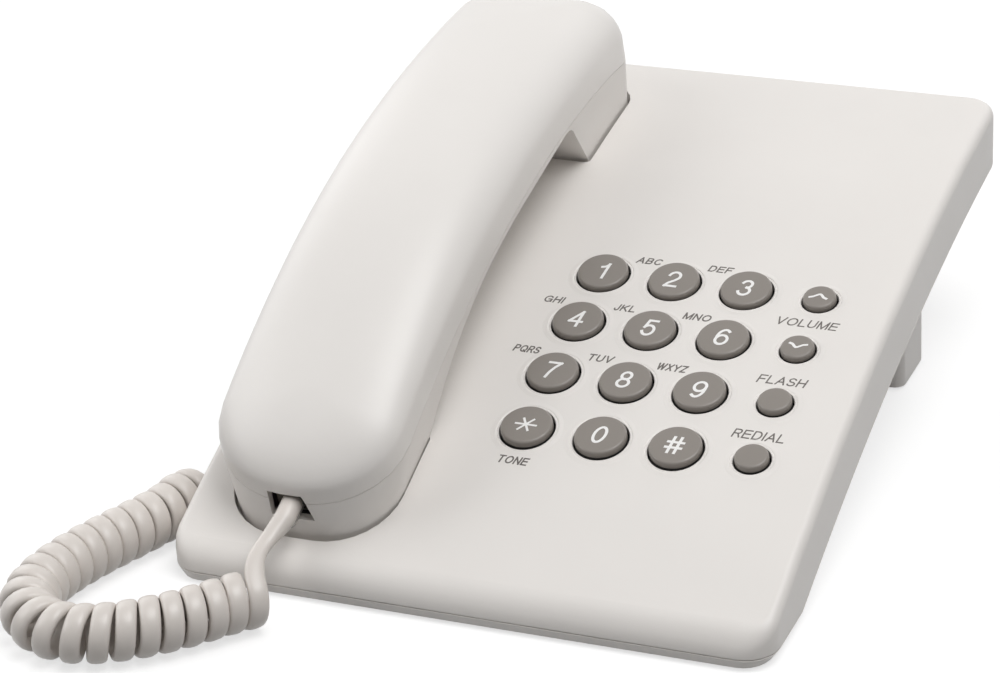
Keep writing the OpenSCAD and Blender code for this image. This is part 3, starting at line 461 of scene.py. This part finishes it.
# ---------------------------------------------------------------- keys
def pad_frame():
    """Origin, across, along and outward directions of the plane that touches the face at the pad's middle."""
    tilt = math.asin((ARCH_Y + PAD_Y) / FACE_R)
    origin = np.array([PAD_X, -PAD_Y, face_z(-PAD_Y)])
    return (origin, np.array([1.0, 0, 0]), np.array([0, math.cos(tilt), math.sin(tilt)]),
            np.array([0, -math.sin(tilt), math.cos(tilt)]))


PAD_ORIGIN, PAD_ACROSS, PAD_ALONG, PAD_OUT = pad_frame()


def pad_point(u, v, height):
    """Point u right and v to the rear of the pad's middle and height above its plane, in millimetres."""
    return PAD_ORIGIN + u * PAD_ACROSS + v * PAD_ALONG + height * PAD_OUT


def sag(v):
    """Fall of the face below the keypad's plane at v."""
    return v * v / (2 * FACE_R)


# Middle of the columns and rows, which count from 0 to 3, and the column of the small keys
MID_KEY = 1.5
SMALL_COLUMN = 3


def key_uv(column, row):
    """Middle of a key in the keypad's plane; the rows count from the rear."""
    return (column - MID_KEY) * KEY_PITCH, (MID_KEY - row) * KEY_PITCH


# The cap's edge radius, the share of its radius that is crowned, and the crown's height there
CAP_ROUND = 0.65
CAP_FLAT = 0.84
CAP_CROWN = 0.12
CAP_RINGS = (0.25, 0.5, 0.65, 0.77)
CAP_SHOULDER = np.linspace(0.04, math.pi / 2, 9)
CAP_SIDES = 96
FLANGE_TOP, FLANGE_BOTTOM, FLANGE_W = -2.9, -4.1, 1.2
CAP_WALL, CAP_ROOF = 1.1, 2.0

# Vertices of a cap below this height over the face get dark plastic as painted shade: the cap's wall seen in
# the gap round the key is painted black for its shadow there
PAINTED_SHADE_H = 0.01


def cap_profile(radius, fall):
    """Radius and height of the cap's outline from the middle of its top to the middle of its inside."""
    round_r, round_h = radius - CAP_ROUND, KEY_H - CAP_CROWN - CAP_ROUND
    top = [(radius * k, KEY_H - CAP_CROWN * (k / CAP_FLAT) ** 2) for k in CAP_RINGS]
    shoulder = [(round_r + CAP_ROUND * math.sin(a), round_h + CAP_ROUND * math.cos(a)) for a in CAP_SHOULDER]
    flange_r, inner_r = radius + FLANGE_W, radius - CAP_WALL
    bottom, roof = FLANGE_BOTTOM + fall, KEY_H - CAP_ROOF
    skirt = [(radius, 0), (radius, FLANGE_TOP), (flange_r, FLANGE_TOP), (flange_r, bottom)]
    return [(0, KEY_H)] + top + shoulder + skirt + [(inner_r, bottom), (inner_r, roof), (0, roof)]


def key_cap(name, column, row, radius):
    """Cap with a flat top and a rounded shoulder, in the place of the plain one; its part below the face is
    painted dark as shade.
    """
    u0, v0 = key_uv(column, row)
    profile = cap_profile(radius, sag(v0))
    verts = [pad_point(u0, v0, profile[0][1] - sag(v0))]
    for r, h in profile[1:-1]:
        for k in range(CAP_SIDES):
            a = 2 * math.pi * k / CAP_SIDES
            verts.append(pad_point(u0 + r * math.cos(a), v0 + r * math.sin(a), h - sag(v0)))
    verts.append(pad_point(u0, v0, profile[-1][1] - sag(v0)))
    rings = len(profile) - 2
    faces = []
    for k in range(CAP_SIDES):
        n = (k + 1) % CAP_SIDES
        faces.append((0, 1 + k, 1 + n))
        for ring in range(rings - 1):
            a, b = 1 + ring * CAP_SIDES, 1 + (ring + 1) * CAP_SIDES
            faces.append((a + k, b + k, b + n, a + n))
        last = 1 + (rings - 1) * CAP_SIDES
        faces.append((last + k, len(verts) - 1, last + n))
    cap = new_mesh("cap_" + name, np.array(verts) * MM, faces, KEY)
    # Painted shade: the cap's part below the face takes dark plastic for the shadow in the gap round the key
    cap.data.materials.append(DARK)
    below = {i for i, v in enumerate(verts) if np.dot(v - PAD_ORIGIN, PAD_OUT) < PAINTED_SHADE_H - sag(v0)}
    for p in cap.data.polygons:
        p.material_index = int(below.issuperset(p.vertices))
    smooth(cap)
    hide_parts("key_" + name)
    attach(cap, f"key_{name}_cap")


# Outline of the lip round a key: distance from the cap and height over the face
COLLAR = [(0.53, -0.3), (0.53, 0.06), (0.6, 0.12), (0.86, 0.12), (1.0, 0.0), (1.12, 0.0), (1.25, 0.15),
          (1.45, 0.15), (1.8, 0.09), (2.25, 0.03), (2.6, -0.03)]


def key_collar(name, column, row, radius):
    """Fine moulded lip of the cover round a key: a flat ring, a shallow groove and a slope to the face."""
    u0, v0 = key_uv(column, row)
    verts, faces = [], []
    for out, h in COLLAR:
        for k in range(CAP_SIDES):
            a = 2 * math.pi * k / CAP_SIDES
            u, v = u0 + (radius + out) * math.cos(a), v0 + (radius + out) * math.sin(a)
            verts.append(pad_point(u, v, h - sag(v)))
    for ring in range(len(COLLAR)):
        a, b = ring * CAP_SIDES, (ring + 1) % len(COLLAR) * CAP_SIDES
        for k in range(CAP_SIDES):
            n = (k + 1) % CAP_SIDES
            faces.append((a + k, b + k, b + n, a + n))
    collar = new_mesh("lip_" + name, np.array(verts) * MM, faces, COVER)
    smooth(collar, LIP_ANGLE)
    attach(collar, "base")


DIGITS = [["1", "2", "3"], ["4", "5", "6"], ["7", "8", "9"], ["star", "0", "hash"]]
FUNCTIONS = ["volume_up", "volume_down", "flash", "redial"]
for row, names in enumerate(DIGITS):
    for column, name in enumerate(names):
        key_cap(name, column, row, KEY_R)
        key_collar(name, column, row, KEY_R)
for row, name in enumerate(FUNCTIONS):
    key_cap(name, SMALL_COLUMN, row, SMALL_KEY_R)
    key_collar(name, SMALL_COLUMN, row, SMALL_KEY_R)


# ---------------------------------------------------------------- lettering
ARC_STEP = 15.0


def bow(cx, cy, rx, ry, start, end):
    """Points of an arc of an ellipse, its angles in degrees."""
    steps = max(2, round(abs(end - start) / ARC_STEP))
    turns = [math.radians(start + (end - start) * k / steps) for k in range(steps + 1)]
    return [(cx + rx * math.cos(a), cy + ry * math.sin(a)) for a in turns]


# Each sign is a list of strokes through points in a box one unit high
SIX = [bow(0.30, 0.31, 0.28, 0.31, 0, 360), bow(0.32, 0.52, 0.30, 0.48, 52, 180) + [(0.02, 0.31)]]
GLYPHS = {
    "0": [bow(0.29, 0.5, 0.27, 0.5, 0, 360)],
    "1": [[(0.10, 0.76), (0.24, 0.80), (0.34, 0.90), (0.38, 1)], [(0.38, 1), (0.38, 0)]],
    "2": [bow(0.29, 0.71, 0.27, 0.29, 170, -25) + [(0.40, 0.42), (0.14, 0.20), (0.03, 0)],
          [(0.03, 0), (0.58, 0)]],
    "3": [bow(0.28, 0.755, 0.24, 0.245, 160, -75), bow(0.28, 0.27, 0.28, 0.27, 80, -165)],
    "4": [[(0.45, 0), (0.45, 1)], [(0.45, 1), (0, 0.30)], [(0, 0.30), (0.62, 0.30)]],
    "5": [[(0.54, 1), (0.13, 1), (0.06, 0.52)], bow(0.29, 0.33, 0.28, 0.33, 145, -160)],
    "6": SIX,
    "7": [[(0, 1), (0.58, 1)], [(0.58, 1), (0.39, 0.70), (0.25, 0.35), (0.18, 0)]],
    "8": [bow(0.29, 0.755, 0.23, 0.245, 0, 360), bow(0.29, 0.265, 0.28, 0.265, 0, 360)],
    "9": [[(0.60 - x, 1 - y) for x, y in stroke] for stroke in SIX],
    "*": [[(0.5 - 0.5 * math.cos(a), 0.5 - 0.43 * math.sin(a)),
           (0.5 + 0.5 * math.cos(a), 0.5 + 0.43 * math.sin(a))] for a in (0, math.pi / 3, 2 * math.pi / 3)],
    "#": [[(0.20, 0), (0.20, 1)], [(0.54, 0), (0.54, 1)],
          [(0, 0.32), (0.74, 0.32)], [(0, 0.68), (0.74, 0.68)]],
    "A": [[(0, 0), (0.40, 1)], [(0.40, 1), (0.80, 0)], [(0.14, 0.34), (0.66, 0.34)]],
    "B": [[(0, 0), (0, 1)] + bow(0.38, 0.76, 0.24, 0.24, 90, -90) + [(0, 0.52)],
          [(0.30, 0.52)] + bow(0.40, 0.26, 0.27, 0.26, 90, -90) + [(0, 0)]],
    "C": [bow(0.42, 0.5, 0.42, 0.5, 42, 318)],
    "D": [[(0, 0), (0, 1)] + bow(0.32, 0.5, 0.42, 0.5, 90, -90) + [(0, 0)]],
    "E": [[(0.66, 1), (0, 1), (0, 0), (0.68, 0)], [(0, 0.52), (0.62, 0.52)]],
    "F": [[(0.64, 1), (0, 1), (0, 0)], [(0, 0.50), (0.56, 0.50)]],
    "G": [bow(0.44, 0.5, 0.44, 0.5, 42, 345), [(0.48, 0.46), (0.86, 0.46), (0.86, 0.06)]],
    "H": [[(0, 0), (0, 1)], [(0.72, 0), (0.72, 1)], [(0, 0.52), (0.72, 0.52)]],
    "I": [[(0, 0), (0, 1)]],
    "J": [[(0.46, 1), (0.46, 0.26)] + bow(0.23, 0.25, 0.23, 0.25, 0, -180)],
    "K": [[(0, 0), (0, 1)], [(0.70, 1), (0, 0.36)], [(0.24, 0.58), (0.74, 0)]],
    "L": [[(0, 1), (0, 0), (0.60, 0)]],
    "M": [[(0, 0), (0, 1)], [(0, 1), (0.44, 0)], [(0.44, 0), (0.88, 1)], [(0.88, 1), (0.88, 0)]],
    "N": [[(0, 0), (0, 1)], [(0, 1), (0.72, 0)], [(0.72, 0), (0.72, 1)]],
    "O": [bow(0.45, 0.5, 0.45, 0.5, 0, 360)],
    "P": [[(0, 0), (0, 1)] + bow(0.40, 0.73, 0.26, 0.27, 90, -90) + [(0, 0.46)]],
    "Q": [bow(0.45, 0.5, 0.45, 0.5, 0, 360), [(0.54, 0.24), (0.88, -0.03)]],
    "R": [[(0, 0), (0, 1)] + bow(0.41, 0.74, 0.26, 0.26, 90, -90) + [(0, 0.48)], [(0.42, 0.48), (0.68, 0)]],
    "S": [bow(0.34, 0.755, 0.30, 0.245, 20, 270) + bow(0.34, 0.255, 0.34, 0.255, 75, -160)],
    "T": [[(0, 1), (0.74, 1)], [(0.37, 1), (0.37, 0)]],
    "U": [[(0, 1)] + bow(0.36, 0.34, 0.36, 0.34, 180, 360) + [(0.72, 1)]],
    "V": [[(0, 1), (0.40, 0)], [(0.40, 0), (0.80, 1)]],
    "W": [[(0, 1), (0.29, 0)], [(0.29, 0), (0.58, 1)], [(0.58, 1), (0.87, 0)], [(0.87, 0), (1.16, 1)]],
    "X": [[(0, 0), (0.74, 1)], [(0, 1), (0.74, 0)]],
    "Y": [[(0, 1), (0.40, 0.44)], [(0.80, 1), (0.40, 0.44), (0.40, 0)]],
    "Z": [[(0, 1), (0.70, 1)], [(0.70, 1), (0, 0)], [(0, 0), (0.72, 0)]],
    "^": [[(0, 0), (0.55, 0.2), (1.0, 0.62), (1.28, 0.86), (1.5, 0.94),
           (1.72, 0.86), (2.0, 0.62), (2.45, 0.2), (3.0, 0)]],
}
GLYPHS["v"] = [[(x, 1 - y) for x, y in GLYPHS["^"][0]]]


def strip_edges(points, half):
    """Left and right edges of a stroke of even width, its corners mitred and its open ends square."""
    p = np.array(points, float)
    closed = np.allclose(p[0], p[-1])
    step = np.diff(p, axis=0)
    step /= np.linalg.norm(step, axis=1)[:, None]
    if closed:
        back, ahead = np.vstack([step[-1:], step]), np.vstack([step, step[:1]])
    else:
        back, ahead = np.vstack([step[:1], step]), np.vstack([step, step[-1:]])
        p[0] -= step[0] * half
        p[-1] += step[-1] * half
    across = back + ahead
    across = np.stack([-across[:, 1], across[:, 0]], 1)
    across *= 2 * half / (across ** 2).sum(axis=1)[:, None]
    return p + across, p - across


def resample(line, step):
    """Points along a line at most a step apart, its corners kept."""
    out = [line[0]]
    for a, b in zip(line, line[1:]):
        count = max(1, math.ceil(np.linalg.norm(b - a) / step))
        out += [a + (b - a) * k / count for k in range(1, count + 1)]
    return np.array(out)


# The print's height over its surface, its depth in it, and the step between crossing strokes
PRINT_T = 0.04
PRINT_SUNK = 0.05
PRINT_LAYER = 0.006
STROKE_STEP = 0.6
SIGN_GAP = 0.15


def lettering(name, text, height, stroke, u, v, top, material, body, slot_name, narrow=1.0, slant=0.2):
    """Print as thin raised strokes; top(u, v) is the surface's height over the keypad's plane."""
    reach = height - stroke
    gap = narrow * (stroke + SIGN_GAP * height)
    widths = [max(x for line in GLYPHS[sign] for x, y in line) * reach * narrow for sign in text]
    start = -(sum(widths) + gap * (len(text) - 1)) / 2
    verts, faces = [], []
    for sign, width in zip(text, widths):
        for layer, line in enumerate(GLYPHS[sign]):
            dense = resample(np.array(line, float) * (reach * narrow, reach), STROKE_STEP)
            first = len(verts)
            for left, right in zip(*strip_edges(dense, stroke / 2)):
                corners = []
                for x, y in (left, right):
                    across, back = u + start + x + slant * (y - reach / 2), v + y - reach / 2
                    level = top(across, back) + layer * PRINT_LAYER
                    corners.append((across, back, level))
                verts += [pad_point(a, b, h + PRINT_T) for a, b, h in corners]
                verts += [pad_point(a, b, h - PRINT_SUNK) for a, b, h in corners[::-1]]
            for ring in range(first, len(verts) - 4, 4):
                for k in range(4):
                    n = (k + 1) % 4
                    faces.append((ring + k, ring + n, ring + 4 + n, ring + 4 + k))
            if not np.allclose(dense[0], dense[-1]):
                end = len(verts)
                faces += [(first + 3, first + 2, first + 1, first), (end - 4, end - 3, end - 2, end - 1)]
        start += width + gap
    obj = new_mesh(name, np.array(verts) * MM, faces, material, smooth=False)
    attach(obj, body)


def cap_top(column, row, radius):
    """Function for the height of a cap's slightly crowned top over the keypad's plane."""
    u0, v0 = key_uv(column, row)

    def height(u, v):
        return KEY_H - CAP_CROWN * (math.hypot(u - u0, v - v0) / radius / CAP_FLAT) ** 2 - sag(v0)
    return height


def face_top(u, v):
    """Height of the face, the same at every u."""
    return -sag(v)


LETTERS = {"2": "ABC", "3": "DEF", "4": "GHI", "5": "JKL", "6": "MNO", "7": "PQRS", "8": "TUV", "9": "WXYZ"}
SIGNS = {"star": "*", "hash": "#"}
WORDS = [("volume", "VOLUME", 19.4), ("flash", "FLASH", -1.5), ("redial", "REDIAL", -20.2)]
DIGIT_H, DIGIT_STROKE, DIGIT_SLANT, DIGIT_DOWN = 5.8, 0.72, 0.1, 0.3
STAR_H, STAR_STROKE = 5.6, 0.55
CHEVRON_H, CHEVRON_STROKE = 2.0, 0.62
WORD_H, WORD_STROKE, WORD_LEFT = 2.8, 0.35, 0.6
LETTER_H, LETTER_STROKE = 2.4, 0.37
LETTERS_LEFT, LETTERS_UP = 9.0, 7.45
TONE_V, TONE_NARROW = -38.3, 0.87

# Groups of four letters are set narrower, and a little further to the left
WIDE_LEFT, WIDE_NARROW = 0.4, 0.78

for row, names in enumerate(DIGITS):
    for column, name in enumerate(names):
        u, v = key_uv(column, row)
        size = (STAR_H, STAR_STROKE) if name == "star" else (DIGIT_H, DIGIT_STROKE)
        lettering("print_" + name, SIGNS.get(name, name), *size, u, v - DIGIT_DOWN,
                  cap_top(column, row, KEY_R), PRINT, f"key_{name}_cap", "key_plastic", slant=DIGIT_SLANT)
        if name in LETTERS:
            wide = len(LETTERS[name]) > 3
            lettering("letters_" + name, LETTERS[name], LETTER_H, LETTER_STROKE,
                      u - LETTERS_LEFT - wide * WIDE_LEFT, v + LETTERS_UP,
                      face_top, GREY_PRINT, "base", "cover_plastic", WIDE_NARROW if wide else 1.0)

word_u = key_uv(SMALL_COLUMN, 0)[0] - WORD_LEFT
for name, word, v in WORDS:
    lettering("word_" + name, word, WORD_H, WORD_STROKE, word_u, v,
              face_top, GREY_PRINT, "base", "cover_plastic")
lettering("word_tone", "TONE", LETTER_H, LETTER_STROKE, key_uv(0, 3)[0], TONE_V,
          face_top, GREY_PRINT, "base", "cover_plastic", TONE_NARROW)
for row, sign in enumerate("^v"):
    name = FUNCTIONS[row]
    lettering("print_" + name, sign, CHEVRON_H, CHEVRON_STROKE, *key_uv(SMALL_COLUMN, row),
              cap_top(SMALL_COLUMN, row, SMALL_KEY_R), PRINT, f"key_{name}_cap", "key_plastic")

# ---------------------------------------------------------------- floor and light
FLOOR_HALF_M = 6.0
FLOOR_GREY = 0.42
FLOOR_GLOW = 0.67
SKY_LIGHT = 0.09
SKY_SEEN = 1.0
LAMP_SIZE_M = 0.9
LAMP_AIM = (0, 0, 0.03)
LAMPS = [
    ("key_light", (0.3, -0.1, 1.35), 8.2),
    ("right_light", (0.6, -0.25, 1.25), 6.8),
    ("left_light", (-1.1, -0.45, 0.85), 6.2),
    ("rear_left_light", (-1.1, 0.6, 0.6), 3.4),
    ("rear_light", (0.25, 1.2, 0.65), 2.2),
]


def seen_rays(nt):
    """1 for rays that see a backdrop straight, in a reflection or through clear plastic, otherwise 0."""
    path = nt.nodes.new("ShaderNodeLightPath")
    total = path.outputs["Is Camera Ray"]
    for ray in ("Is Glossy Ray", "Is Transmission Ray"):
        both = nt.nodes.new("ShaderNodeMath")
        both.operation = "MAXIMUM"
        nt.links.new(total, both.inputs[0])
        nt.links.new(path.outputs[ray], both.inputs[1])
        total = both.outputs["Value"]
    return total


def stage_material():
    """Pale floor that keeps the object's shadow and looks white."""
    mat = bpy.data.materials.new("stage_white")
    mat.use_nodes = True
    nt = mat.node_tree
    nt.nodes.clear()
    out = nt.nodes.new("ShaderNodeOutputMaterial")
    diffuse = nt.nodes.new("ShaderNodeBsdfDiffuse")
    diffuse.inputs["Color"].default_value = (FLOOR_GREY, FLOOR_GREY, FLOOR_GREY, 1)
    glow = nt.nodes.new("ShaderNodeEmission")
    glow.inputs["Strength"].default_value = FLOOR_GLOW
    none = nt.nodes.new("ShaderNodeEmission")
    none.inputs["Strength"].default_value = 0.0
    pick = nt.nodes.new("ShaderNodeMixShader")
    add = nt.nodes.new("ShaderNodeAddShader")
    nt.links.new(seen_rays(nt), pick.inputs["Fac"])
    nt.links.new(none.outputs["Emission"], pick.inputs[1])
    nt.links.new(glow.outputs["Emission"], pick.inputs[2])
    nt.links.new(diffuse.outputs["BSDF"], add.inputs[0])
    nt.links.new(pick.outputs["Shader"], add.inputs[1])
    nt.links.new(add.outputs["Shader"], out.inputs["Surface"])
    return mat


corners = [(-1, -1, 0), (1, -1, 0), (1, 1, 0), (-1, 1, 0)]
floor = new_mesh("floor", np.array(corners) * FLOOR_HALF_M, [(0, 1, 2, 3)], stage_material(), smooth=False)

# Dim white sky that lights the part, with a full white one for what is seen of it
world = bpy.data.worlds.new("studio")
scene.world = world
world.use_nodes = True
sky = world.node_tree
lit_sky = sky.nodes["Background"]
lit_sky.inputs["Color"].default_value = (1, 1, 1, 1)
lit_sky.inputs["Strength"].default_value = SKY_LIGHT
seen_sky = sky.nodes.new("ShaderNodeBackground")
seen_sky.inputs["Color"].default_value = (1, 1, 1, 1)
seen_sky.inputs["Strength"].default_value = SKY_SEEN
pick_sky = sky.nodes.new("ShaderNodeMixShader")
sky.links.new(seen_rays(sky), pick_sky.inputs["Fac"])
sky.links.new(lit_sky.outputs["Background"], pick_sky.inputs[1])
sky.links.new(seen_sky.outputs["Background"], pick_sky.inputs[2])
sky.links.new(pick_sky.outputs["Shader"], sky.nodes["World Output"].inputs["Surface"])

for name, at, watts in LAMPS:
    lamp = bpy.data.lights.new(name, "AREA")
    lamp.shape = "RECTANGLE"
    lamp.size = LAMP_SIZE_M
    lamp.size_y = LAMP_SIZE_M
    lamp.energy = watts
    lamp_obj = bpy.data.objects.new(name, lamp)
    scene.collection.objects.link(lamp_obj)
    lamp_obj.location = at
    lamp_obj.rotation_euler = (Vector(LAMP_AIM) - Vector(at)).to_track_quat("-Z", "Y").to_euler()
scene.view_settings.view_transform = "Standard"
